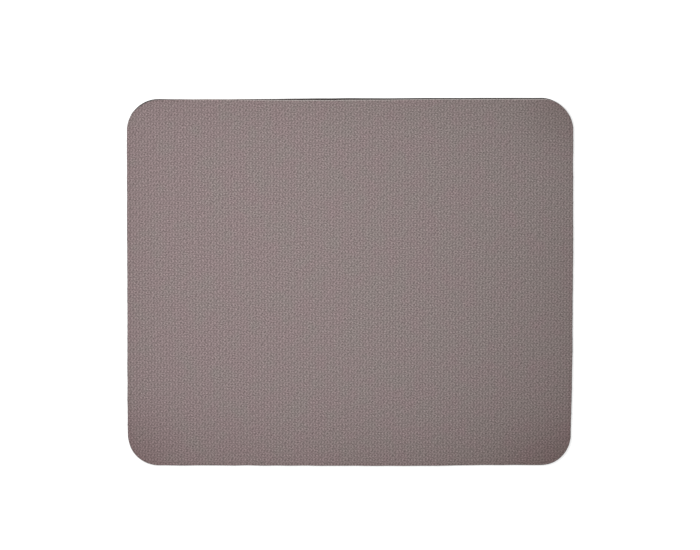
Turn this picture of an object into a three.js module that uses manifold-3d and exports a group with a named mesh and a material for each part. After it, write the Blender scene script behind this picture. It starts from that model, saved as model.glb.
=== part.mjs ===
// A flat mouse pad: knitted cloth bonded by a hot-melt film to a sponge-rubber base with a moulded tread.
// Millimetres, +Z up. The origin is the middle of the underside, and +X runs along the long side.

import * as THREE from 'three';
import { mergeVertices } from 'three/addons/utils/BufferGeometryUtils.js';
import Module from 'manifold-3d';

// Outline of the cut, measured at the foot of the rubber
const padLength = 216;
const padWidth = 178;
const cornerRadius = 15.5;
const cornerSteps = 7;

// Thickness of the three layers
const baseThickness = 2.45;
const filmThickness = 0.1;
const clothThickness = 0.45;

// Cut wall: the rubber springs back from the die, so the wall is hollow and its foot stands out past the cloth
const footReach = 0.45;
const wallHollow = 0.3;
const wallSteps = 5;

// The die presses the rim of the cloth down into a small round
const clothRimRadius = 0.3;
const rimSteps = 2;

// Tread under the base: wavy V grooves that run out at the short sides and leave a plain land along the long ones
const groovePitch = 6;
const grooveWidth = 1.8;
const grooveDepth = 0.5;
const waveLength = 18;
const waveHeight = 1.8;
const stationsPerWave = 4;
const sideLand = 4;
const cutterOverrun = 1;

const clothFinish = { color: 0x8c7e7d, roughness: 0.95, metalness: 0 };
const filmFinish = { color: 0xcfc7b8, roughness: 0.45, metalness: 0 };
const rubberFinish = { color: 0x2e2b2a, roughness: 0.9, metalness: 0 };

const manifold = await Module();
manifold.setup();

// One closed skin over a stack of rings. Each ring is convex, has as many points as the others
// and runs counter-clockwise as seen from the end of the stack.
function loft(rings) {
  const count = rings[0].length;
  const last = rings.length - 1;
  const index = [];
  for (let level = 0; level < last; level += 1) {
    const here = level * count;
    const above = here + count;
    for (let point = 0; point < count; point += 1) {
      const next = (point + 1) % count;
      index.push(here + point, here + next, above + next);
      index.push(here + point, above + next, above + point);
    }
  }
  const end = last * count;
  for (let point = 1; point < count - 1; point += 1) {
    index.push(0, point + 1, point);
    index.push(end, end + point, end + point + 1);
  }
  const geometry = new THREE.BufferGeometry().setFromPoints(rings.flat());
  geometry.setIndex(index);
  return geometry;
}

// Rounded rectangle of the cut, drawn in by an inset and lifted to a height
function outlineRing(inset, height) {
  const radius = cornerRadius - inset;
  const centreX = padLength / 2 - cornerRadius;
  const centreY = padWidth / 2 - cornerRadius;
  const quarter = Math.PI / 2;
  const outline = new THREE.Path();
  outline.absarc(centreX, centreY, radius, 0, quarter);
  outline.absarc(-centreX, centreY, radius, quarter, 2 * quarter);
  outline.absarc(-centreX, -centreY, radius, 2 * quarter, 3 * quarter);
  outline.absarc(centreX, -centreY, radius, 3 * quarter, 4 * quarter);
  return outline.getPoints(cornerSteps).map((point) => new THREE.Vector3(point.x, point.y, height));
}

// A layer is its edge section, points of inset against height, carried round the outline
function layerGeometry(section) {
  return loft(section.map((point) => outlineRing(point.x, point.y)));
}

function solidOf(geometry) {
  const merged = mergeVertices(geometry);
  return new manifold.Manifold(
    new manifold.Mesh({
      numProp: 3,
      vertProperties: merged.attributes.position.array,
      triVerts: new Uint32Array(merged.index.array),
    }),
  );
}

function geometryOf(solid) {
  const mesh = solid.getMesh();
  const geometry = new THREE.BufferGeometry();
  geometry.setAttribute('position', new THREE.BufferAttribute(mesh.vertProperties, 3));
  geometry.setIndex(new THREE.BufferAttribute(mesh.triVerts, 1));
  return geometry;
}

// One groove as a cutter: a V section set across the wave at stations from end to end of the pad
function grooveCutter(rowY) {
  const half = grooveWidth / 2;
  const step = waveLength / stationsPerWave;
  const reach = Math.ceil((padLength / 2 + cutterOverrun) / step);
  const rings = [];
  for (let station = -reach; station <= reach; station += 1) {
    const x = station * step - step / 2;
    const y = rowY + waveHeight * Math.sin((2 * Math.PI * x) / waveLength);
    rings.push([
      new THREE.Vector3(x, y - half, -cutterOverrun),
      new THREE.Vector3(x, y + half, -cutterOverrun),
      new THREE.Vector3(x, y + half, 0),
      new THREE.Vector3(x, y, grooveDepth),
      new THREE.Vector3(x, y - half, 0),
    ]);
  }
  return solidOf(loft(rings));
}

// Sponge-rubber sheet with its hollow cut wall, less the grooves of the tread
function rubberBaseGeometry() {
  const wall = new THREE.QuadraticBezierCurve(
    new THREE.Vector2(0, 0),
    new THREE.Vector2(footReach + wallHollow, baseThickness / 2),
    new THREE.Vector2(footReach, baseThickness),
  );
  let base = solidOf(layerGeometry(wall.getPoints(wallSteps)));
  const outermostRow = padWidth / 2 - sideLand - waveHeight - grooveWidth / 2;
  for (let rowY = groovePitch / 2; rowY <= outermostRow; rowY += groovePitch) {
    base = base.subtract(grooveCutter(rowY)).subtract(grooveCutter(-rowY));
  }
  return geometryOf(base);
}

// Film cut flush with the top of the rubber
function adhesiveFilmGeometry() {
  return layerGeometry([new THREE.Vector2(footReach, 0), new THREE.Vector2(footReach, filmThickness)]);
}

// Cloth cut flush with the film, its upper rim rolled over by the die
function faceClothGeometry() {
  const rimHeight = clothThickness - clothRimRadius;
  const section = new THREE.Path();
  section.moveTo(footReach, 0);
  section.lineTo(footReach, rimHeight);
  section.absarc(footReach + clothRimRadius, rimHeight, clothRimRadius, Math.PI, Math.PI / 2, true);
  return layerGeometry(section.getPoints(rimSteps));
}

function layerMesh(name, geometry, height, finish) {
  geometry.computeVertexNormals();
  const mesh = new THREE.Mesh(geometry, new THREE.MeshStandardMaterial(finish));
  mesh.name = name;
  mesh.position.z = height;
  return mesh;
}

const mousePad = new THREE.Group();
mousePad.name = 'mouse_pad';
mousePad.add(layerMesh('rubber_base', rubberBaseGeometry(), 0, rubberFinish));
mousePad.add(layerMesh('adhesive_film', adhesiveFilmGeometry(), baseThickness, filmFinish));
mousePad.add(layerMesh('face_cloth', faceClothGeometry(), baseThickness + filmThickness, clothFinish));

export default mousePad;
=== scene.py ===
"""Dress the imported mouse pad: a knitted face, a glue film and a sponge-rubber base, in a plain studio."""

import logging
import math
from dataclasses import dataclass
from enum import Enum

import bpy
import numpy as np
from mathutils import Matrix, Vector
from mathutils.geometry import delaunay_2d_cdt


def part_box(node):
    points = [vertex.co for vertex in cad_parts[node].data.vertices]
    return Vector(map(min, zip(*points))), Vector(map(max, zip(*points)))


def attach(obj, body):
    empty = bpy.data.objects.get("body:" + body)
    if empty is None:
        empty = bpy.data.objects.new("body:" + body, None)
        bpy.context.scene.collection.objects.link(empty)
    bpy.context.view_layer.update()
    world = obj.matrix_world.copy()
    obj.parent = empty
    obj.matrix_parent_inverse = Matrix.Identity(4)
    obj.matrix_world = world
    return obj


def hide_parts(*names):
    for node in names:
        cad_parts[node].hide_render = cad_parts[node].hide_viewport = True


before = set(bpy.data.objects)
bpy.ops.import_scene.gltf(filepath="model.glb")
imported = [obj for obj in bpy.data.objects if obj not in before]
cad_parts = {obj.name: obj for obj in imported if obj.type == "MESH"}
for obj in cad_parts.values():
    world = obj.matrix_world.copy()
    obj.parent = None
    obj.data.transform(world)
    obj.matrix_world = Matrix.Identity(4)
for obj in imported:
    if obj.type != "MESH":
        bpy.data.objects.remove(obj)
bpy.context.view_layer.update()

log = logging.getLogger("mouse_pad")

MM = 0.001
FULL_TURN = 2 * math.pi
BODY = "root"
CUT_MARK = "fresh_cut"
# Mark of painted shade on the cloth: a darker, warmer rim and edges, and darker far corners.
SHADE_MARK = "painted_edge_shade"
FOOT_CORNER = 15.5 * MM
ONLY_INSIDE = 1
SAME_POINT = 1e-9

Level = float | np.ndarray
Rows = list[np.ndarray]
Span = tuple[float, float]
NONE_TO_ALL: Span = (0.0, 1.0)
ALL_TO_NONE: Span = (1.0, 0.0)


class Sum(Enum):
    """The sums that a finish works with."""

    ADD = "ADD"
    TAKE = "SUBTRACT"
    TIMES = "MULTIPLY"
    OVER = "DIVIDE"
    FLOOR = "FLOOR"
    FRACTION = "FRACT"
    WRAP = "FLOORED_MODULO"
    SIZE = "ABSOLUTE"
    SINE = "SINE"
    COSINE = "COSINE"
    MORE = "MAXIMUM"


class Side(Enum):
    """The side that a filled face looks to."""

    UP = 1
    DOWN = -1


def smooth_step(low: float, high: float, value: Level) -> Level:
    """Rise smoothly from 0 at low to 1 at high."""
    share = np.clip((value - low) / (high - low), 0, 1)
    return share * share * (3 - 2 * share)


def uneven_line(count: int, waves: int, seed: int) -> np.ndarray:
    """Draw an unevenness that closes on itself round an edge.

    Args:
        count: The number of points round the edge.
        waves: The finest wave, counted round the edge.
        seed: The seed of the draw.

    Returns:
        One number for each point, with a spread of about 1.
    """
    draw = np.random.default_rng(seed)
    spectrum = np.zeros(count // 2 + 1, complex)
    finest = min(waves, count // 2)
    spectrum[1:finest] = draw.normal(size=finest - 1) + 1j * draw.normal(size=finest - 1)
    line = np.fft.irfft(spectrum, count)
    return line / line.std()


@dataclass(frozen=True)
class Walk:
    """Points set evenly round a cut line.

    Attributes:
        points: The points, one row of X and Y each.
        outward: The outward directions there.
    """

    points: np.ndarray
    outward: np.ndarray

    def ring(self, reach: np.ndarray, height: Level) -> np.ndarray:
        """Move the points outward and set them at a height."""
        flat = self.points + self.outward * reach[:, None]
        return np.column_stack([flat, np.broadcast_to(height, len(flat))])


@dataclass(frozen=True)
class CutLine:
    """The die's line round a layer: a rounded rectangle.

    Attributes:
        length: Size along X.
        width: Size along Y.
        corner: Radius of the four corners.
    """

    length: float
    width: float
    corner: float

    @property
    def reach(self) -> tuple[float, float]:
        """The corner centres' distance from the middle, along X and Y."""
        return self.length / 2 - self.corner, self.width / 2 - self.corner

    @property
    def around(self) -> float:
        """The length of the line."""
        across, along = self.reach
        return 4 * (across + along) + FULL_TURN * self.corner

    @property
    def area(self) -> float:
        """The area inside the line."""
        return self.length * self.width - (4 - math.pi) * self.corner**2

    def depth(self, points: np.ndarray) -> np.ndarray:
        """Give how far inside the line each point lies."""
        past = np.abs(points[:, :2]) - np.array(self.reach)
        return self.corner - np.hypot(*np.maximum(past, 0).T) - np.minimum(past.max(1), 0)

    def walk(self, spacing: float) -> Walk:
        """Set points evenly round the line, counter-clockwise from above.

        Args:
            spacing: The distance between points, about.

        Returns:
            The points and the outward directions there.
        """
        count = round(self.around / spacing)
        across, along = self.reach
        arc = self.corner * math.pi / 2
        runs = [2 * along, arc, 2 * across, arc] * 2
        starts = np.concatenate([[0], np.cumsum(runs)])
        place = np.arange(count) * self.around / count
        run = np.clip(np.searchsorted(starts, place, side="right") - 1, 0, len(runs) - 1)
        gone = place - starts[run]
        quarter = run // 2
        turn = quarter * math.pi / 2 + np.where(run % 2 == 1, gone / self.corner, 0)
        outward = np.stack([np.cos(turn), np.sin(turn)], 1)
        centres = np.array([[across, along], [-across, along], [-across, -along], [across, -along]])
        onward = np.stack([-np.sin(turn), np.cos(turn)], 1)
        left = np.where(run % 2 == 0, np.array(runs)[run] - gone, 0)
        points = centres[quarter] + self.corner * outward - left[:, None] * onward
        return Walk(points, outward)


class Skin:
    """The points and faces of one closed mesh."""

    def __init__(self) -> None:
        """Start with nothing."""
        self.points: Rows = []
        self.cut: Rows = []
        self.painted_shade: Rows = []
        self.faces: list[tuple[int, ...]] = []
        self.count = 0

    def add(self, points: np.ndarray, cut: Level = 0.0, painted_shade: Level = 0.0) -> np.ndarray:
        """Store points.

        Args:
            points: Rows of X, Y and Z.
            cut: How much of the fresh cut's look each point has.
            painted_shade: How much painted shade each point has.

        Returns:
            The points' numbers.
        """
        numbers = np.arange(self.count, self.count + len(points))
        self.points.append(points)
        self.cut.append(np.broadcast_to(cut, len(points)))
        self.painted_shade.append(np.broadcast_to(painted_shade, len(points)))
        self.count += len(points)
        return numbers

    def band(self, lower: np.ndarray, upper: np.ndarray) -> None:
        """Join two rings, in their order on the way up the edge, with quads that look outward."""
        quads = np.stack([lower, np.roll(lower, -1), np.roll(upper, -1), upper], 1)
        self.faces.extend(map(tuple, quads.tolist()))

    def close(self, rings: Rows, upper: Rows, lower: Rows) -> None:
        """Join rings into an edge and fill its two ends.

        Args:
            rings: The numbers of each ring, from the underside up.
            upper: The numbers of each row of points on the upper side.
            lower: The numbers of each row of points on the underside.
        """
        for below, above in zip(rings, rings[1:]):
            self.band(below, above)
        self.fill(rings[-1], upper, Side.UP)
        self.fill(rings[0], lower, Side.DOWN)

    def fill(self, rim: np.ndarray, rows: Rows, side: Side) -> None:
        """Fill a ring with triangles that keep to rows of points inside it.

        Args:
            rim: The ring's numbers.
            rows: The numbers of the points of each row, in order along it.
            side: The side that the faces look to.
        """
        points = np.concatenate(self.points)
        numbers = np.concatenate([rim, *rows])
        flat = [Vector(point) for point in points[numbers, :2].tolist()]
        edges = []
        start = len(rim)
        for row in rows:
            steps = range(start, start + len(row) - 1)
            edges.extend((step, step + 1) for step in steps)
            start += len(row)
        inside = [list(range(len(rim)))]
        found = delaunay_2d_cdt(flat, edges, inside, ONLY_INSIDE, SAME_POINT)
        _, _, faces, origins, _, _ = found
        source = [numbers[origin[0]] for origin in origins]
        for face in faces:
            corners = [int(source[corner]) for corner in face]
            self.faces.append(tuple(corners if side is Side.UP else corners[::-1]))

    def piece(self, name: str, crease: float) -> bpy.types.Object:
        """Make the mesh and its object.

        Args:
            name: The piece's name.
            crease: The angle in degrees from which an edge stays sharp.

        Returns:
            The new object, in the scene.
        """
        mesh = bpy.data.meshes.new(name)
        mesh.from_pydata(np.concatenate(self.points).tolist(), [], self.faces)
        for mark_name, levels in ((CUT_MARK, self.cut), (SHADE_MARK, self.painted_shade)):
            mark = mesh.attributes.new(mark_name, "FLOAT", "POINT")
            mark.data.foreach_set("value", np.concatenate(levels).astype(np.float32))
        mesh.shade_smooth()
        mesh.set_sharp_from_angle(angle=math.radians(crease))
        mesh.validate()
        thing = bpy.data.objects.new(name, mesh)
        bpy.context.scene.collection.objects.link(thing)
        return thing


Socket = bpy.types.NodeSocket
Colour = tuple[float, float, float]
Place = tuple[float, float, float]
Value = float | Colour | Place | Socket
Sockets = dict[str | int, Value]
WHITE: Colour = (1.0, 1.0, 1.0)
MID_NOISE: Place = (0.5, 0.5, 0.5)
SOFT_LAYERS = 2.0
ROUGH_LAYERS = 3.0
HALF = 0.5


class Bench:
    """Lays out the nodes of one finish."""

    def __init__(self, owner: bpy.types.Material | bpy.types.World) -> None:
        """Clear the owner's nodes.

        Args:
            owner: What the nodes are for.
        """
        owner.use_nodes = True
        self.owner = owner
        self.tree = owner.node_tree
        self.tree.nodes.clear()

    def node(self, kind: str, inputs: Sockets | None = None, **settings: str) -> bpy.types.Node:
        """Add a node.

        Args:
            kind: Blender's name for the node's type.
            inputs: What goes into its sockets, by name or number.
            settings: The node's own options.

        Returns:
            The node.
        """
        made = self.tree.nodes.new(kind)
        for option, choice in settings.items():
            setattr(made, option, choice)
        for socket, value in (inputs or {}).items():
            self.feed(made.inputs[socket], value)
        return made

    def feed(self, socket: Socket, value: Value) -> None:
        """Set a socket's value, or link it.

        Args:
            socket: The socket that takes the value.
            value: A number, a colour or vector, or another node's output.
        """
        if isinstance(value, Socket):
            self.tree.links.new(value, socket)
        elif socket.type == "RGBA":
            socket.default_value = (*value, 1.0)
        else:
            socket.default_value = value

    def sum(self, kind: Sum, first: Value, second: Value = 0.0) -> Socket:
        """Work out one sum of two numbers, or of the first alone."""
        return self.node("ShaderNodeMath", {0: first, 1: second}, operation=kind.value).outputs[0]

    def ramp(self, value: Value, span: Span, result: Span = NONE_TO_ALL) -> Socket:
        """Carry a number smoothly from one span to another."""
        sockets = {0: value, 1: span[0], 2: span[1], 3: result[0], 4: result[1]}
        return self.node("ShaderNodeMapRange", sockets, interpolation_type="SMOOTHSTEP").outputs[0]

    def blend(self, share: Value, first: Value, second: Value) -> Socket:
        """Mix two colours by the second one's share."""
        return self.node("ShaderNodeMix", {0: share, 6: first, 7: second}, data_type="RGBA").outputs[2]

    def tone(self, colour: Value, level: Value) -> Socket:
        """Multiply a colour or a vector by a level."""
        return self.node("ShaderNodeVectorMath", {0: colour, "Scale": level}, operation="SCALE").outputs[0]

    def each(self, kind: Sum, first: Value, second: Value) -> Socket:
        """Work out one sum for X, Y and Z, or for red, green and blue."""
        return self.node("ShaderNodeVectorMath", {0: first, 1: second}, operation=kind.value).outputs[0]

    def level(self, value: Value, gain: float) -> Socket:
        """Turn a number round 0 into a level round 1, which changes with it by the gain."""
        return self.node("ShaderNodeMath", {0: value, 1: gain, 2: 1.0}, operation="MULTIPLY_ADD").outputs[0]

    def place_mm(self) -> Socket:
        """Give the point on the pad, in millimetres."""
        place = self.node("ShaderNodeTexCoord").outputs["Object"]
        return self.tone(place, 1 / MM)

    def mark(self, name: str) -> Socket:
        """Give a mark that the mesh carries, from 0 to 1."""
        return self.node("ShaderNodeAttribute", attribute_name=name).outputs["Fac"]

    def cloud(self, place: Value, size: float, layers: float = ROUGH_LAYERS) -> bpy.types.Node:
        """Add noise with blotches of a size in millimetres and a number of finer layers."""
        return self.node("ShaderNodeTexNoise", {"Vector": place, "Scale": 1 / size, "Detail": layers})

    def chance(self, cell: Value) -> Socket:
        """Give a chance number from 0 to 1 for each cell."""
        return self.node("ShaderNodeTexWhiteNoise", {"Vector": cell}).outputs["Value"]

    def relief(self, height: Value, depth: float) -> Socket:
        """Turn a height into a bumped normal, where the depth is what a height of 1 stands for."""
        return self.node("ShaderNodeBump", {"Height": height, "Distance": depth}).outputs["Normal"]

    def finish(self, sockets: Sockets) -> bpy.types.Material:
        """Add the surface shader.

        Args:
            sockets: What goes into the shader.

        Returns:
            The material.
        """
        shader = self.node("ShaderNodeBsdfPrincipled", sockets)
        self.node("ShaderNodeOutputMaterial", {"Surface": shader.outputs[0]})
        return self.owner


@dataclass(frozen=True)
class Stitch:
    """Where a point of the cloth lies in its stitch.

    Attributes:
        cell: The number of its column, and that of its yarn along the column.
        height: Height of the yarn, from 0 between the yarns to 1.
    """

    cell: Socket
    height: Socket


@dataclass(frozen=True)
class KnitFinish:
    """Fine knitted polyester: slanted stitches in columns, lighter and darker in a repeat of two columns.

    Attributes:
        wale: Width of one column of stitches, in millimetres.
        course: Height of one stitch, in millimetres.
        columns: Columns in one repeat.
        repeat: Length of the repeat along a column, in millimetres.
        column_tone: How much lighter every other column is.
        rising_tone_with_side_light: How much lighter the slanted lines are that rise to the right; what
            they have past the falling ones is painted side light.
        falling_tone: How much lighter those are that fall to the right.
        slant: How far a stitch climbs across its column, in stitches.
        bend: How far a stitch's ends climb past its middle, in stitches.
        rib: How far the columns' sides fall away.
        stretch: How far the bonding pulled the knit about, in millimetres.
        stretch_size: Size of the pulled places, in millimetres.
        yarn: Colour of the yarn.
        shaded_gap: Colour between the yarns, darker as painted shade where they hide each other.
        gap_span: Heights between which that painted shade turns into the yarn's colour.
        yarns: Yarns that lie side by side in one stitch.
        heather: How much a yarn differs in lightness from those on its left and above it.
        left: Step to the yarn on the left.
        above: Step to the yarn above.
        fibre_size: Size of the fibres' unevenness, in millimetres.
        fibre_height: Height of the fibres, as a share of the stitch's.
        tint_size: Size of the blotches of the dye, in millimetres.
        tint_span: Levels between which the warm tint turns into the cool one.
        rose: Warm tint of some blotches.
        sage: Cool tint of the others.
        drift: How far the dye cools from the left side to the right, in blotch levels for each millimetre.
        cut: Colour of the undyed cut edge.
        fray_span: Levels between which the cut fibres go from dark to light.
        fray_tone: How dark and how light they are.
        painted_shade: Darker, warmer tint of the painted shade on the rim, the edges and the far corners.
        relief: Depth of the knit.
        rough_span: Levels between which the roughness grows.
        roughness: Least and most roughness.
        gloss: How much the yarn shines.
        sheen: How much light the fuzz catches.
        sheen_spread: How softly it does.
    """

    wale: float = 0.7215
    course: float = 0.712
    columns: float = 2.0
    repeat: float = 2.14
    column_tone: float = 0.113
    rising_tone_with_side_light: float = 0.124
    falling_tone: float = 0.06
    slant: float = 0.5
    bend: float = 0.4
    rib: float = 0.73
    stretch: float = 0.9
    stretch_size: float = 35.0
    yarn: Colour = (0.277, 0.221, 0.2185)
    shaded_gap: Colour = (0.2415, 0.193, 0.1905)
    gap_span: Span = (0.05, 0.9)
    yarns: int = 2
    heather: float = 0.58
    left: Place = (-1.0, 0.0, 0.0)
    above: Place = (0.0, 1.0, 0.0)
    fibre_size: float = 0.15
    fibre_height: float = 0.25
    tint_size: float = 7.5
    tint_span: Span = (0.25, 0.75)
    rose: Colour = (1.025, 0.98, 1.002)
    sage: Colour = (0.975, 1.02, 0.998)
    drift: float = 0.0012
    cut: Colour = (0.5, 0.45, 0.43)
    fray_span: Span = (0.3, 0.7)
    fray_tone: Span = (0.75, 1.15)
    painted_shade: Colour = (0.72, 0.638, 0.634)
    relief: float = 0.06 * MM
    rough_span: Span = (0.2, 0.8)
    roughness: Span = (0.86, 0.98)
    gloss: float = 0.2
    sheen: float = 0.08
    sheen_spread: float = 0.5

    def pulled(self, bench: Bench, place: Value) -> Socket:
        """Pull the knit about a little, as the bonding did.

        Args:
            bench: The finish's bench.
            place: The point, in millimetres.

        Returns:
            Where the point lies in the unpulled knit, in millimetres.
        """
        noise = bench.cloud(place, self.stretch_size, SOFT_LAYERS).outputs["Color"]
        pull = bench.each(Sum.TAKE, noise, MID_NOISE)
        return bench.each(Sum.ADD, place, bench.tone(pull, self.stretch))

    def stitch(self, bench: Bench, pulled: Value) -> Stitch:
        """Lay out the stitches, each column half a stitch behind its neighbour.

        Args:
            bench: The finish's bench.
            pulled: The point in the unpulled knit, in millimetres.

        Returns:
            Where the point lies in its stitch.
        """
        spot = bench.node("ShaderNodeSeparateXYZ", {0: pulled})
        column = bench.sum(Sum.OVER, spot.outputs[0], self.wale)
        row = bench.sum(Sum.OVER, spot.outputs[1], self.course)
        number = bench.sum(Sum.FLOOR, column)
        across = bench.sum(Sum.TAKE, bench.sum(Sum.FRACTION, column), HALF)
        behind = bench.sum(Sum.TIMES, bench.sum(Sum.WRAP, number, self.columns), HALF)
        slope = bench.sum(Sum.TIMES, across, self.slant)
        curl = bench.sum(Sum.TIMES, bench.sum(Sum.SIZE, across), self.bend)
        climb = bench.sum(Sum.ADD, bench.sum(Sum.ADD, slope, curl), behind)
        along = bench.sum(Sum.ADD, row, climb)
        arch = bench.sum(Sum.SINE, bench.sum(Sum.TIMES, bench.sum(Sum.FRACTION, along), math.pi))
        loop = bench.sum(Sum.TIMES, arch, arch)
        crest = bench.sum(Sum.COSINE, bench.sum(Sum.TIMES, across, math.pi))
        rib = bench.sum(Sum.ADD, bench.sum(Sum.TIMES, crest, self.rib), 1 - self.rib)
        yarn = bench.sum(Sum.FLOOR, bench.sum(Sum.TIMES, along, self.yarns))
        cell = bench.node("ShaderNodeCombineXYZ", {0: number, 1: yarn}).outputs[0]
        return Stitch(cell, bench.sum(Sum.TIMES, loop, rib))

    def pattern(self, bench: Bench, pulled: Value) -> Socket:
        """Make every other column lighter, and slanted lines of stitches that cross the columns, with the
        rising lines lighter than the falling ones as painted side light.

        Args:
            bench: The finish's bench.
            pulled: The point in the unpulled knit, in millimetres.

        Returns:
            A level round 1.
        """
        spot = bench.node("ShaderNodeSeparateXYZ", {0: pulled})
        across = bench.sum(Sum.TIMES, spot.outputs[0], FULL_TURN / (self.columns * self.wale))
        along = bench.sum(Sum.TIMES, spot.outputs[1], FULL_TURN / self.repeat)
        columns = bench.level(bench.sum(Sum.COSINE, across), self.column_tone)
        # Painted side light: the rising lines are drawn lighter than the falling ones, as if light caught
        # one slant of the stitches.
        rising = bench.sum(Sum.COSINE, bench.sum(Sum.TAKE, across, along))
        falling = bench.sum(Sum.COSINE, bench.sum(Sum.ADD, across, along))
        level = bench.sum(Sum.TIMES, columns, bench.level(rising, self.rising_tone_with_side_light))
        return bench.sum(Sum.TIMES, level, bench.level(falling, self.falling_tone))

    def lightness(self, bench: Bench, stitch: Stitch) -> Socket:
        """Make each yarn lighter or darker than its neighbours, so that no large blotches arise.

        Args:
            bench: The finish's bench.
            stitch: Where the point lies in its stitch.

        Returns:
            A level round 1.
        """
        here = bench.chance(stitch.cell)
        left = bench.chance(bench.each(Sum.ADD, stitch.cell, self.left))
        above = bench.chance(bench.each(Sum.ADD, stitch.cell, self.above))
        around = bench.sum(Sum.TIMES, bench.sum(Sum.ADD, left, above), HALF)
        return bench.level(bench.sum(Sum.TAKE, here, around), self.heather)

    def tint(self, bench: Bench, place: Value) -> Socket:
        """Make the dye blotchy, and cooler towards the right.

        Args:
            bench: The finish's bench.
            place: The point, in millimetres.

        Returns:
            The tint that the colour is multiplied by.
        """
        side = bench.node("ShaderNodeSeparateXYZ", {0: place}).outputs[0]
        blotch = bench.cloud(place, self.tint_size).outputs[0]
        share = bench.sum(Sum.ADD, blotch, bench.sum(Sum.TIMES, side, self.drift))
        return bench.blend(bench.ramp(share, self.tint_span), self.rose, self.sage)

    def material(self) -> bpy.types.Material:
        """Make the finish.

        Returns:
            The material.
        """
        bench = Bench(bpy.data.materials.new("knit"))
        place = bench.place_mm()
        pulled = self.pulled(bench, place)
        stitch = self.stitch(bench, pulled)
        fibre = bench.cloud(place, self.fibre_size).outputs[0]
        # Painted shade: the low places between the yarns take the darker gap colour.
        shade = bench.ramp(stitch.height, self.gap_span)
        level = bench.sum(Sum.TIMES, self.lightness(bench, stitch), self.pattern(bench, pulled))
        colour = bench.tone(bench.blend(shade, self.shaded_gap, self.yarn), level)
        colour = bench.each(Sum.TIMES, colour, self.tint(bench, place))
        # Painted shade: darken and warm the colour by the mesh's shade mark.
        painted_shading = bench.blend(bench.mark(SHADE_MARK), WHITE, self.painted_shade)
        colour = bench.each(Sum.TIMES, colour, painted_shading)
        frayed = bench.tone(self.cut, bench.ramp(fibre, self.fray_span, self.fray_tone))
        height = bench.sum(Sum.ADD, stitch.height, bench.sum(Sum.TIMES, fibre, self.fibre_height))
        return bench.finish(
            {
                "Base Color": bench.blend(bench.mark(CUT_MARK), colour, frayed),
                "Roughness": bench.ramp(fibre, self.rough_span, self.roughness),
                "Specular IOR Level": self.gloss,
                "Sheen Weight": self.sheen,
                "Sheen Roughness": self.sheen_spread,
                "Normal": bench.relief(height, self.relief),
            }
        )


@dataclass(frozen=True)
class SpongeFinish:
    """Dark sponge rubber: a moulded skin, and open pores where the die cut it.

    Attributes:
        skin: Colour of the moulded skin.
        core: Colour of the cut rubber.
        pore_shade: Painted shade inside a pore.
        dust: Colour of the dust on raised places.
        pore_size: Spacing of the pores, in millimetres.
        pore_span: Distances from a pore's middle between which it closes, in spacings.
        grain_size: Size of the skin's grain, in millimetres.
        grain_height: Height of the grain, as a share of a pore's depth.
        dust_size: Size of the dusty places, in millimetres.
        dust_layers: Finer layers of those places.
        dust_span: Levels between which the dust grows.
        dust_share: Least and most share of dust.
        relief: Depth of the pores and the grain.
        rough_span: Levels between which the roughness grows.
        roughness: Least and most roughness.
        gloss: How much the rubber shines.
    """

    skin: Colour = (0.024, 0.022, 0.021)
    core: Colour = (0.036, 0.027, 0.023)
    pore_shade: Colour = (0.008, 0.007, 0.007)
    dust: Colour = (0.11, 0.1, 0.092)
    pore_size: float = 0.3
    pore_span: Span = (0.18, 0.42)
    grain_size: float = 0.22
    grain_height: float = 0.6
    dust_size: float = 9.0
    dust_layers: float = 4.0
    dust_span: Span = (0.45, 0.75)
    dust_share: Span = (0.0, 0.35)
    relief: float = 0.07 * MM
    rough_span: Span = (0.25, 0.75)
    roughness: Span = (0.72, 0.95)
    gloss: float = 0.22

    def material(self) -> bpy.types.Material:
        """Make the finish.

        Returns:
            The material.
        """
        bench = Bench(bpy.data.materials.new("sponge_rubber"))
        place = bench.place_mm()
        cells = bench.node("ShaderNodeTexVoronoi", {"Vector": place, "Scale": 1 / self.pore_size})
        open_pore = bench.ramp(cells.outputs["Distance"], self.pore_span, ALL_TO_NONE)
        grain = bench.cloud(place, self.grain_size).outputs[0]
        cloud = bench.cloud(place, self.dust_size, self.dust_layers).outputs[0]
        cut = bench.mark(CUT_MARK)
        pores = bench.sum(Sum.TIMES, open_pore, cut)
        rubber = bench.blend(cut, self.skin, self.core)
        # Painted shade: the open pores take a near-black colour.
        rubber = bench.blend(pores, rubber, self.pore_shade)
        powder = bench.sum(Sum.TIMES, bench.ramp(cloud, self.dust_span, self.dust_share), grain)
        colour = bench.blend(powder, rubber, self.dust)
        height = bench.sum(Sum.TAKE, bench.sum(Sum.TIMES, grain, self.grain_height), pores)
        return bench.finish(
            {
                "Base Color": colour,
                "Roughness": bench.ramp(grain, self.rough_span, self.roughness),
                "Specular IOR Level": self.gloss,
                "Normal": bench.relief(height, self.relief),
            }
        )


@dataclass(frozen=True)
class GlueFinish:
    """Milky hot-melt film, clouded where it is thicker.

    Attributes:
        thin: Colour of the thin film.
        thick: Colour where it gathered.
        ripple_size: Size of its ripples, in millimetres.
        ripple_span: Levels between which it gathers.
        relief: Depth of its ripples.
        roughness: Least and most roughness.
    """

    thin: Colour = (0.5, 0.45, 0.37)
    thick: Colour = (0.68, 0.63, 0.55)
    ripple_size: float = 0.8
    ripple_span: Span = (0.3, 0.7)
    relief: float = 0.02 * MM
    roughness: Span = (0.3, 0.5)

    def material(self) -> bpy.types.Material:
        """Make the finish.

        Returns:
            The material.
        """
        bench = Bench(bpy.data.materials.new("glue"))
        ripple = bench.cloud(bench.place_mm(), self.ripple_size).outputs[0]
        return bench.finish(
            {
                "Base Color": bench.blend(bench.ramp(ripple, self.ripple_span), self.thin, self.thick),
                "Roughness": bench.ramp(ripple, self.ripple_span, self.roughness),
                "Normal": bench.relief(ripple, self.relief),
            }
        )


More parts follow.
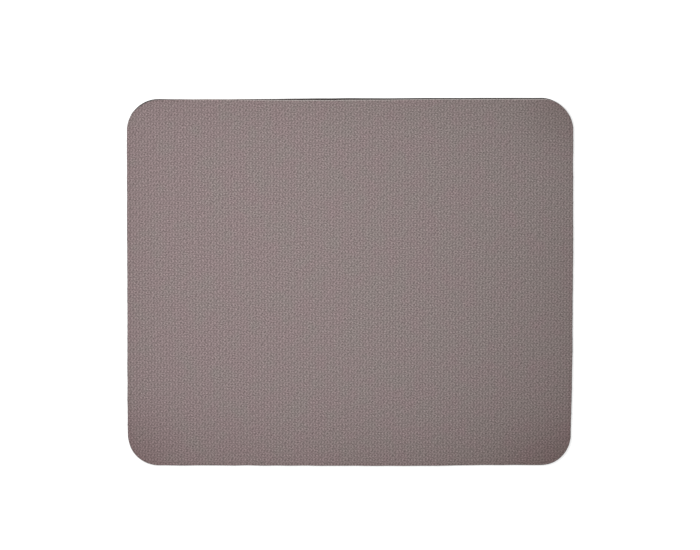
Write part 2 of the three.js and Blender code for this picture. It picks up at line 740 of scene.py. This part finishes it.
@dataclass(frozen=True)
class Spot:
    """A soft round place on the pad.

    Attributes:
        x: Its middle, along X.
        y: Its middle, along Y.
        reach: How far it spreads.
        amount: How much there is of it in the middle.
    """

    x: float
    y: float
    reach: float
    amount: float

    def on(self, points: np.ndarray) -> np.ndarray:
        """Give how much of it each point has."""
        away = np.hypot(points[:, 0] - self.x, points[:, 1] - self.y) / self.reach
        return self.amount * np.exp(-(away**2))


@dataclass(frozen=True)
class KnifeLine:
    """How the knife strayed, the same in every layer.

    Attributes:
        stray: Usual distance from the true line.
        waves: The finest wave, counted round the pad.
        seed: The seed of the draw.
        wanders: Places where it left its true line, inward or, with a negative amount, outward.
    """

    stray: float = 0.03 * MM
    waves: int = 60
    seed: int = 11
    wanders: tuple[Spot, ...] = (
        Spot(108 * MM, -78 * MM, 25 * MM, 0.7 * MM),
        Spot(68 * MM, -89 * MM, 22 * MM, 0.48 * MM),
        Spot(-80 * MM, -89 * MM, 60 * MM, 0.1 * MM),
        Spot(-66 * MM, 89 * MM, 20 * MM, -0.2 * MM),
        Spot(64 * MM, 89 * MM, 30 * MM, -0.1 * MM),
        Spot(-108 * MM, -52 * MM, 22 * MM, -0.15 * MM),
        Spot(108 * MM, 18 * MM, 22 * MM, -0.17 * MM),
        Spot(104 * MM, 85 * MM, 14 * MM, -0.13 * MM),
    )

    def line(self, points: np.ndarray) -> np.ndarray:
        """Give how far outside the true line each point of it was cut."""
        stray = self.stray * uneven_line(len(points), self.waves, self.seed)
        return stray - sum(wander.on(points) for wander in self.wanders)


@dataclass(frozen=True)
class FarEdge:
    """The far side, where the knife went in at a slant and bared the cloth's edge and the rubber's foot.

    Attributes:
        start: Where the slant is full, along X.
        run_in: Length over which it grows.
        end: Where it ends.
        pale_start: Where the cloth's edge is bared from.
        tuck_start: Where the stretch starts on which the foot is tucked in.
        tuck_end: Where that stretch ends.
        fade: Length over which a stretch dies out.
        straight: How far the outward direction of the straight side points to the far side.
        bend: How much less it points there where the corners start.
        corner: Direction of the place on the corner that is slanted too, in degrees.
        corner_width: Width of that place, in degrees.
        drawn: Where the upper edge is drawn in.
        corner_recess: How far it is drawn in at the corner.
        corner_spread: How much further the foot stands out at the corner.
        spread: How much further it stands out along the slant.
        tuck: How far the foot is drawn in where it is tucked in.
    """

    start: float = -5.0 * MM
    run_in: float = 49.0 * MM
    end: float = 92.0 * MM
    pale_start: float = -74.0 * MM
    tuck_start: float = -84.0 * MM
    tuck_end: float = -59.0 * MM
    fade: float = 9.0 * MM
    straight: float = 0.97
    bend: float = 0.1
    corner: float = 120.0
    corner_width: float = 26.0
    drawn: Spot = Spot(-15 * MM, 89 * MM, 32 * MM, 0.32 * MM)
    corner_recess: float = 0.4 * MM
    corner_spread: float = 0.1 * MM
    spread: float = 0.4 * MM
    tuck: float = 0.22 * MM

    def side(self, walk: Walk) -> np.ndarray:
        """Give 1 on the straight far side and 0 elsewhere."""
        return smooth_step(self.straight - self.bend, self.straight, walk.outward[:, 1])

    def stretch(self, walk: Walk, start: float, end: float, run_in: float) -> np.ndarray:
        """Give 1 on a stretch along X, which grows over its run-in and dies out past its end."""
        x = walk.points[:, 0]
        return smooth_step(start - run_in, start, x) * (1 - smooth_step(end, end + self.fade, x))

    def at_corner(self, walk: Walk) -> np.ndarray:
        """Give how near each point lies to the slanted place of the corner.

        Args:
            walk: The points of the true line.

        Returns:
            One number from 0 to 1 for each point.
        """
        turn = np.degrees(np.arctan2(walk.outward[:, 1], walk.outward[:, 0]))
        before = 1 - smooth_step(self.tuck_start, self.tuck_start + self.fade, walk.points[:, 0])
        return before * np.exp(-(((turn - self.corner) / self.corner_width) ** 2))

    def bared(self, walk: Walk) -> np.ndarray:
        """Give how far the cloth's edge is bared, from 0 to 1."""
        return self.side(walk) * self.stretch(walk, self.pale_start, self.end, self.fade)

    def upper_recess(self, walk: Walk) -> np.ndarray:
        """Give how far the upper edge is drawn in."""
        return self.drawn.on(walk.points) + self.corner_recess * self.at_corner(walk)

    def foot_reach(self, walk: Walk) -> np.ndarray:
        """Give how much further the foot stands out, or less where it is tucked in.

        Args:
            walk: The points of the true line.

        Returns:
            One length for each point.
        """
        slanted = self.stretch(walk, self.start, self.end, self.run_in)
        tucked = self.stretch(walk, self.tuck_start, self.tuck_end, self.fade)
        straight = self.side(walk) * (self.spread * slanted - self.tuck * tucked)
        return straight + self.corner_spread * self.at_corner(walk)


@dataclass(frozen=True)
class FaceCloth:
    """The knitted cloth, cut with the pad, its rim rolled over by the die.

    Attributes:
        line: The cloth's cut line.
        bottom: Height of its underside.
        top: Height of its face.
        rim: Radius of the rolled rim.
        rim_steps: Rings over the rim.
        bared_width: Width of the cloth's undyed edge, where the slanted cut bares it.
        bared_fade: Where that edge has died out, in widths of it.
        spacing: Distance between points round the edge.
        tooth: How far the cut stitches stand in and out.
        fray: Unevenness of the cut stitches.
        fray_points: Points in the finest wave of the fray.
        calm: Width of the strip in which the edge's unevenness dies out.
        shaded_rim_width: Width of the strip along the edge, apart from the bared far side, that gets
            painted shade.
        shaded_rim_level: How dark that painted shade is.
        rim_shade: Painted shade on the face right at the edge.
        rim_shade_reach: How far in from the edge that painted shade dies away.
        shade_spots: Painted shade at the lower corners, the upper right corner and the near and right
            edges, where the lamp's light falls off.
        side_look: How much of the fresh cut shows on the plain edge.
        sag: How far the face sags between the places where it is bonded best.
        dips: Number of places where it sags.
        dip_reach: How far such a place spreads.
        dip_seed: The seed of their draw.
        mesh_step: Distance between points on the face.
        crease: Angle from which an edge of the mesh stays sharp, in degrees.
        knit: The finish.
    """

    line: CutLine
    bottom: float
    top: float
    rim: float = 0.3 * MM
    rim_steps: int = 4
    bared_width: float = 0.31 * MM
    bared_fade: float = 1.3
    spacing: float = 0.2 * MM
    tooth: float = 0.03 * MM
    fray: float = 0.025 * MM
    fray_points: int = 5
    calm: float = 0.9 * MM
    shaded_rim_width: float = 2.2 * MM
    shaded_rim_level: float = 0.17
    rim_shade: float = 0.16
    rim_shade_reach: float = 6.0 * MM
    shade_spots: tuple[Spot, ...] = (
        Spot(108 * MM, -89 * MM, 46 * MM, 0.47),
        Spot(102 * MM, -85 * MM, 16 * MM, 0.4),
        Spot(-108 * MM, -89 * MM, 24 * MM, 0.62),
        Spot(101 * MM, 82 * MM, 15 * MM, 0.4),
        Spot(116 * MM, -10 * MM, 40 * MM, 0.16),
        Spot(-58 * MM, -96 * MM, 30 * MM, 0.21),
        Spot(2 * MM, -98 * MM, 30 * MM, 0.24),
        Spot(52 * MM, -96 * MM, 28 * MM, 0.19),
        Spot(80 * MM, -92 * MM, 14 * MM, 0.2),
    )
    side_look: float = 0.35
    sag: float = 0.03 * MM
    dips: int = 40
    dip_reach: float = 9.0 * MM
    dip_seed: int = 5
    mesh_step: float = 3.0 * MM
    crease: float = 60.0
    knit: KnitFinish = KnitFinish()

    @property
    def bared_end(self) -> float:
        """Inset at which the bared edge has died out."""
        return self.bared_fade * self.bared_width

    def section(self) -> list[tuple[float, float]]:
        """Give the edge's section from the underside to the face.

        Returns:
            Rows of inset and height.
        """
        rise = self.top - self.rim
        rows = [(0.0, self.bottom), (0.0, (self.bottom + rise) / 2)]
        for step in range(self.rim_steps + 1):
            turn = math.pi / 2 * step / self.rim_steps
            rows.append((self.rim * (1 - math.cos(turn)), rise + self.rim * math.sin(turn)))
        insets = (self.bared_width, self.bared_end, self.calm, self.shaded_rim_width)
        rows.extend((inset, self.top) for inset in insets)
        return rows

    def build(self, knife: KnifeLine, far: FarEdge) -> bpy.types.Object:
        """Make the cloth.

        Args:
            knife: How the knife strayed.
            far: The slanted cut of the far side.

        Returns:
            The piece.
        """
        walk = self.line.walk(self.spacing)
        count = len(walk.points)
        stitches = walk.points[:, ::-1] / (np.array([self.knit.course, self.knit.wale]) * MM)
        teeth = (np.cos(FULL_TURN * stitches) * walk.outward**2).sum(1)
        slant = far.bared(walk)
        edge = knife.line(walk.points) - far.upper_recess(walk)
        skin = Skin()
        rings = []
        for level, (inset, height) in enumerate(self.section()):
            rough = self.tooth * teeth + self.fray * uneven_line(count, count // self.fray_points, level)
            strength = 1 - smooth_step(self.rim, self.calm, inset)
            ring = walk.ring(edge + rough * strength - inset, height)
            side = self.side_look * (1 - smooth_step(0.0, self.rim, inset))
            bare = slant * (1 - smooth_step(self.bared_width, self.bared_end, inset))
            # Painted shade: a darker, warmer strip along the rim, except where the far side's edge is
            # bared, plus the face's painted shading.
            strip = (1 - slant) * (1 - smooth_step(self.rim, self.shaded_rim_width, inset))
            painted_shade = self.shaded_rim_level * strip + self.painted_shading(ring)
            rings.append(skin.add(ring, np.maximum(side, bare), painted_shade))
        skin.close(rings, self.face_rows(skin), [])
        return skin.piece("knit_face", self.crease)

    def face_rows(self, skin: Skin) -> Rows:
        """Set rows of points on the face, which sags a little between the places where it is bonded best.

        Args:
            skin: The skin that takes the points.

        Returns:
            The numbers of each row's points.
        """
        across, along = self.line.reach
        draw = np.random.default_rng(self.dip_seed)
        dips = draw.uniform(-1, 1, (self.dips, 2)) * np.array([across, along])
        rows = []
        for y in np.arange(-along, along, self.mesh_step):
            xs = np.arange(-across, across, self.mesh_step)
            away = np.hypot(xs[:, None] - dips[None, :, 0], y - dips[None, :, 1])
            sag = self.sag * np.exp(-((away / self.dip_reach) ** 2)).max(1)
            row = np.column_stack([xs, np.full_like(xs, y), self.top - sag])
            rows.append(skin.add(row, 0.0, self.painted_shading(row)))
        return rows

    def painted_shading(self, points: np.ndarray) -> np.ndarray:
        """Give the painted shade on each point of the face: darker towards the edge and at the shade spots.
        """
        rim = self.rim_shade * np.exp(-self.line.depth(points) / self.rim_shade_reach)
        return rim + sum(spot.on(points) for spot in self.shade_spots)

    def dress(self, piece: bpy.types.Object) -> None:
        """Give the cloth its finish, attach it to the pad's body and hide the CAD part that it replaces.

        Args:
            piece: The cloth.
        """
        piece.data.materials.append(self.knit.material())
        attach(piece, BODY)
        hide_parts("face_cloth")


@dataclass(frozen=True)
class GlueFilm:
    """The hot-melt film, pressed out a little at the cut.

    Attributes:
        line: The film's cut line.
        bottom: Height of its underside.
        top: Height of its upper side.
        bead: How far it is pressed out half way up.
        bead_spread: How uneven the bead is, as a share of it.
        bead_points: Points in the finest wave of the bead.
        bead_seed: What the bead's draw adds to the knife's seed.
        spacing: Distance between points round the edge.
        edge_rings: Rings up the edge.
        crease: Angle from which an edge of the mesh stays sharp, in degrees.
        glue: The finish.
    """

    line: CutLine
    bottom: float
    top: float
    bead: float = 0.03 * MM
    bead_spread: float = 0.5
    bead_points: int = 4
    bead_seed: int = 1
    spacing: float = 0.5 * MM
    edge_rings: int = 3
    crease: float = 40.0
    glue: GlueFinish = GlueFinish()

    def build(self, knife: KnifeLine, far: FarEdge) -> bpy.types.Object:
        """Make the film.

        Args:
            knife: How the knife strayed.
            far: The slanted cut of the far side.

        Returns:
            The piece.
        """
        walk = self.line.walk(self.spacing)
        count = len(walk.points)
        stray = knife.line(walk.points) - far.upper_recess(walk)
        uneven = uneven_line(count, count // self.bead_points, knife.seed + self.bead_seed)
        beads = self.bead * (1 + self.bead_spread * uneven)
        skin = Skin()
        rings = []
        for share in np.linspace(0.0, 1.0, self.edge_rings):
            height = self.bottom + (self.top - self.bottom) * share
            rings.append(skin.add(walk.ring(stray + beads * math.sin(math.pi * share), height), 1.0))
        skin.close(rings, [], [])
        return skin.piece("glue_film", self.crease)

    def dress(self, piece: bpy.types.Object) -> None:
        """Give the film its finish, attach it to the pad's body and hide the CAD part that it replaces.

        Args:
            piece: The film.
        """
        piece.data.materials.append(self.glue.material())
        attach(piece, BODY)
        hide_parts("adhesive_film")


@dataclass(frozen=True)
class Tread:
    """Wavy grooves under the base.

    Attributes:
        pitch: Distance between grooves.
        groove: Width of a groove.
        depth: Depth of a groove.
        wave: Length of one wave.
        swing: How far a wave swings to each side.
        side_land: Plain strip along the long sides.
        steps: Points in one wave.
        groove_lines: Where lines of points run along a groove, in half widths from its middle.
    """

    pitch: float = 6.0 * MM
    groove: float = 1.8 * MM
    depth: float = 0.5 * MM
    wave: float = 18.0 * MM
    swing: float = 1.5 * MM
    side_land: float = 4.0 * MM
    steps: int = 10
    groove_lines: tuple[float, ...] = (-1.0, -0.6, -0.25, 0.25, 0.6, 1.0)

    def sway(self, x: np.ndarray) -> np.ndarray:
        """Give the waves' sideways place at x."""
        return self.swing * np.sin(FULL_TURN * x / self.wave)

    def rows(self, width: float) -> np.ndarray:
        """Give the grooves' middle lines.

        Args:
            width: The base's width.

        Returns:
            The place of each line along Y.
        """
        outermost = width / 2 - self.side_land - self.swing - self.groove / 2
        half = np.arange(self.pitch / 2, outermost, self.pitch)
        return np.concatenate([-half[::-1], half])

    def offsets(self) -> np.ndarray:
        """Give where lines of points run beside a groove's middle line, the last one on the land."""
        return np.append(self.groove / 2 * np.array(self.groove_lines), self.pitch / 2)

    def lift(self, points: np.ndarray, width: float) -> np.ndarray:
        """Give the underside's height.

        Args:
            points: Rows of X and Y.
            width: The base's width.

        Returns:
            The height of each point, from 0 on the lands to the grooves' depth.
        """
        rows = self.rows(width)
        level = points[:, 1] - self.sway(points[:, 0])
        away = np.abs(level[:, None] - rows[None, :]).min(1)
        return self.depth * (1 - smooth_step(0.0, self.groove / 2, away))


@dataclass(frozen=True)
class SpongeBase:
    """The sponge-rubber base with its hollow cut wall and its tread.

    Attributes:
        line: The cut line at the foot.
        top: Height of its upper side.
        foot_reach: How far the foot stands out past the upper edge.
        hollow: How far the guide point of the wall's curve lies in past the upper edge.
        lip: Size of the bevel along the foot's lower edge.
        lip_look: How much of the fresh cut shows under that bevel.
        wall_steps: Rings up the wall.
        spacing: Distance between points round the edge.
        torn: Unevenness of the cut wall.
        torn_points: Points in its finest wave.
        torn_seed: What the first ring's draw adds to the knife's seed.
        margin: Distance that the tread's points keep from the edge.
        crease: Angle from which an edge of the mesh stays sharp, in degrees.
        tread: The grooves.
        sponge: The finish.
    """

    line: CutLine
    top: float
    foot_reach: float
    hollow: float = 0.3 * MM
    lip: float = 0.08 * MM
    lip_look: float = 0.3
    wall_steps: int = 9
    spacing: float = 0.25 * MM
    torn: float = 0.02 * MM
    torn_points: int = 3
    torn_seed: int = 2
    margin: float = 1.0 * MM
    crease: float = 50.0
    tread: Tread = Tread()
    sponge: SpongeFinish = SpongeFinish()

    def wall_inset(self, share: float) -> float:
        """Give how far the wall is drawn in at a share of its height, on a curve with one guide point."""
        return 2 * share * (1 - share) * (self.foot_reach + self.hollow) + share**2 * self.foot_reach

    def build(self, knife: KnifeLine, far: FarEdge) -> bpy.types.Object:
        """Make the base.

        Args:
            knife: How the knife strayed.
            far: The slanted cut of the far side.

        Returns:
            The piece.
        """
        walk = self.line.walk(self.spacing)
        count = len(walk.points)
        stray = knife.line(walk.points)
        extra = far.foot_reach(walk)
        recess = far.upper_recess(walk)
        floor = self.tread.lift(walk.points, self.line.width)
        skin = Skin()
        rings = [skin.add(walk.ring(stray + extra - self.lip, floor), self.lip_look)]
        for step, share in enumerate(np.linspace(self.lip / self.top, 1.0, self.wall_steps)):
            seed = knife.seed + self.torn_seed + step
            tear = self.torn * uneven_line(count, count // self.torn_points, seed)
            slope = extra * (1 - share) ** 2 - recess * share
            reach = stray + slope - self.wall_inset(share) + tear * math.sin(math.pi * share)
            rings.append(skin.add(walk.ring(reach, floor + (self.top - floor) * share), 1.0))
        skin.close(rings, [], self.tread_rows(skin))
        return skin.piece("sponge_base", self.crease)

    def tread_rows(self, skin: Skin) -> Rows:
        """Set rows of points along the grooves of the underside.

        Args:
            skin: The skin that takes the points.

        Returns:
            The numbers of each row's points.
        """
        step = self.tread.wave / self.tread.steps
        count = int((self.line.length / 2 - self.margin) / step)
        xs = np.arange(-count, count + 1) * step
        rows = []
        for middle in self.tread.rows(self.line.width):
            for offset in self.tread.offsets():
                flat = np.column_stack([xs, middle + offset + self.tread.sway(xs)])
                flat = flat[self.line.depth(flat) > self.margin]
                rows.append(skin.add(np.column_stack([flat, self.tread.lift(flat, self.line.width)])))
        return rows

    def dress(self, piece: bpy.types.Object) -> None:
        """Give the base its finish, attach it to the pad's body and hide the CAD part that it replaces.

        Args:
            piece: The base.
        """
        piece.data.materials.append(self.sponge.material())
        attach(piece, BODY)
        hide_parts("rubber_base")


@dataclass(frozen=True)
class Studio:
    """A pale floor, one soft lamp over the pad, a soft surround and the camera.

    Attributes:
        floor_size: Side of the floor.
        floor_colour: Colour of the floor under light.
        floor_glow: White that the floor adds near the pad, where it is looked at.
        far_glow: White that it adds far away, where the lamp doesn't reach.
        glow_span: Distances from the middle between which the white grows.
        floor_drop: How far the floor lies under the pad's foot.
        surround: Colour of the surrounding light.
        surround_level: Level of the surrounding light.
        lamp_place: Where the lamp hangs.
        lamp_width: Diameter of the lamp.
        lamp_power: Power of the lamp, in watts.
        lamp_colour: Colour of the lamp.
        image: Width and height of the picture, in pixels.
        pad_pixel: Where the pad's middle lies in the picture.
        pixel: Size of a pixel on the face of the pad.
        distance: Distance from the camera to the face.
        sensor: Width of the camera's sensor, in millimetres.
        lean_back: How far the camera stands to the far side, in degrees.
        lean_right: How far it stands to the right, in degrees.
        picture_up: Direction that points up in the picture.
    """

    floor_size: float = 8.0
    floor_colour: Colour = (0.6, 0.6, 0.6)
    floor_glow: float = 0.7
    far_glow: float = 0.8
    glow_span: Span = (0.2, 0.6)
    floor_drop: float = 0.05 * MM
    surround: Colour = (0.98, 1.0, 1.01)
    surround_level: float = 0.36
    lamp_place: Place = (-0.0545, 0.033, 0.363)
    lamp_width: float = 0.12
    lamp_power: float = 0.98
    lamp_colour: Colour = (1.01, 1.0, 0.995)
    image: tuple[int, int] = (700, 550)
    pad_pixel: tuple[float, float] = (349.6, 283.1)
    pixel: float = 0.4828 * MM
    distance: float = 0.8
    sensor: float = 36.0
    lean_back: float = 1.4
    lean_right: float = 0.65
    picture_up: Place = (0.0, 1.0, 0.0)

    def floor(self) -> bpy.types.Object:
        """Make the floor.

        Returns:
            The floor.
        """
        half = self.floor_size / 2
        low = -self.floor_drop
        mesh = bpy.data.meshes.new("floor")
        corners = [(-half, -half, low), (half, -half, low), (half, half, low), (-half, half, low)]
        mesh.from_pydata(corners, [], [(0, 1, 2, 3)])
        thing = bpy.data.objects.new("floor", mesh)
        bpy.context.scene.collection.objects.link(thing)
        mesh.materials.append(self.floor_finish())
        return thing

    def looked_at(self, bench: Bench) -> Socket:
        """Tell apart what looks at the white and the light that falls on the pad.

        Args:
            bench: The bench of the floor's finish or of the surround.

        Returns:
            1 for the camera, a reflection or a look through a clear body, and 0 for light.
        """
        path = bench.node("ShaderNodeLightPath")
        seen = bench.sum(Sum.MORE, path.outputs["Is Camera Ray"], path.outputs["Is Glossy Ray"])
        return bench.sum(Sum.MORE, seen, path.outputs["Is Transmission Ray"])

    def floor_finish(self) -> bpy.types.Material:
        """Make the floor's finish: matt, with white added where it is looked at, and clear from below.

        Returns:
            The material.
        """
        bench = Bench(bpy.data.materials.new("floor"))
        matt = bench.node("ShaderNodeBsdfDiffuse", {"Color": self.floor_colour})
        place = bench.node("ShaderNodeTexCoord").outputs["Object"]
        away = bench.node("ShaderNodeVectorMath", {0: place}, operation="LENGTH").outputs["Value"]
        white = bench.ramp(away, self.glow_span, (self.floor_glow, self.far_glow))
        level = bench.sum(Sum.TIMES, self.looked_at(bench), white)
        glow = bench.node("ShaderNodeEmission", {"Color": WHITE, "Strength": level})
        both = bench.node("ShaderNodeAddShader", {0: matt.outputs[0], 1: glow.outputs[0]})
        below = bench.node("ShaderNodeNewGeometry").outputs["Backfacing"]
        clear = bench.node("ShaderNodeBsdfTransparent")
        sided = bench.node("ShaderNodeMixShader", {0: below, 1: both.outputs[0], 2: clear.outputs[0]})
        bench.node("ShaderNodeOutputMaterial", {"Surface": sided.outputs[0]})
        return bench.owner

    def light(self) -> None:
        """Hang the lamp and light the surround."""
        lamp = bpy.data.lights.new("soft_lamp", "AREA")
        lamp.shape = "DISK"
        lamp.size = self.lamp_width
        lamp.energy = self.lamp_power
        lamp.color = self.lamp_colour
        thing = bpy.data.objects.new("soft_lamp", lamp)
        thing.location = self.lamp_place
        thing.visible_camera = False
        bpy.context.scene.collection.objects.link(thing)
        world = bpy.data.worlds.new("surround")
        bpy.context.scene.world = world
        bench = Bench(world)
        soft = bench.node("ShaderNodeBackground", {"Color": self.surround, "Strength": self.surround_level})
        white = bench.node("ShaderNodeBackground", {"Color": WHITE, "Strength": 1.0})
        both = bench.node(
            "ShaderNodeMixShader", {0: self.looked_at(bench), 1: soft.outputs[0], 2: white.outputs[0]}
        )
        bench.node("ShaderNodeOutputWorld", {"Surface": both.outputs[0]})

    def camera(self, face: float) -> bpy.types.Object:
        """Set up the camera over the pad.

        Args:
            face: Height of the pad's face.

        Returns:
            The camera.
        """
        data = bpy.data.cameras.new("photo_camera")
        data.sensor_fit = "HORIZONTAL"
        data.sensor_width = self.sensor
        data.lens = self.sensor * self.distance / (self.image[0] * self.pixel)
        thing = bpy.data.objects.new("photo_camera", data)
        aim_x = (self.image[0] / 2 - self.pad_pixel[0]) * self.pixel
        aim_y = (self.pad_pixel[1] - self.image[1] / 2) * self.pixel
        aim = Vector((aim_x, aim_y, face))
        back = math.radians(self.lean_back)
        right = math.radians(self.lean_right)
        away = Vector((math.tan(right), math.tan(back), 1.0)).normalized()
        thing.location = aim + away * self.distance
        rightward = Vector(self.picture_up).cross(away).normalized()
        upward = away.cross(rightward)
        thing.rotation_mode = "QUATERNION"
        thing.rotation_quaternion = Matrix((rightward, upward, away)).transposed().to_quaternion()
        bpy.context.scene.collection.objects.link(thing)
        bpy.context.scene.camera = thing
        return thing


def main() -> None:
    """Build the pad's layers and the studio, in order."""
    logging.basicConfig(level=logging.INFO, format="%(name)s: %(message)s")
    base_low, base_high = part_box("rubber_base")
    film_low, film_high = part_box("adhesive_film")
    cloth_low, cloth_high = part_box("face_cloth")
    foot_reach = base_high.x - cloth_high.x
    foot_line = CutLine(base_high.x - base_low.x, base_high.y - base_low.y, FOOT_CORNER)
    cloth_line = CutLine(cloth_high.x - cloth_low.x, cloth_high.y - cloth_low.y, FOOT_CORNER - foot_reach)
    knife = KnifeLine()
    far = FarEdge()
    layers = (
        SpongeBase(foot_line, base_high.z, foot_reach),
        GlueFilm(cloth_line, film_low.z, film_high.z),
        FaceCloth(cloth_line, cloth_low.z, cloth_high.z),
    )
    for layer in layers:
        piece = layer.build(knife, far)
        layer.dress(piece)
        log.info("%s: %d points, %d faces", piece.name, len(piece.data.vertices), len(piece.data.polygons))
    studio = Studio()
    log.info("stage: %s", studio.floor().name)
    studio.light()
    log.info("camera: %s", studio.camera(cloth_high.z).name)
    bpy.context.scene.view_settings.view_transform = "Standard"


if __name__ == "__main__":
    main()
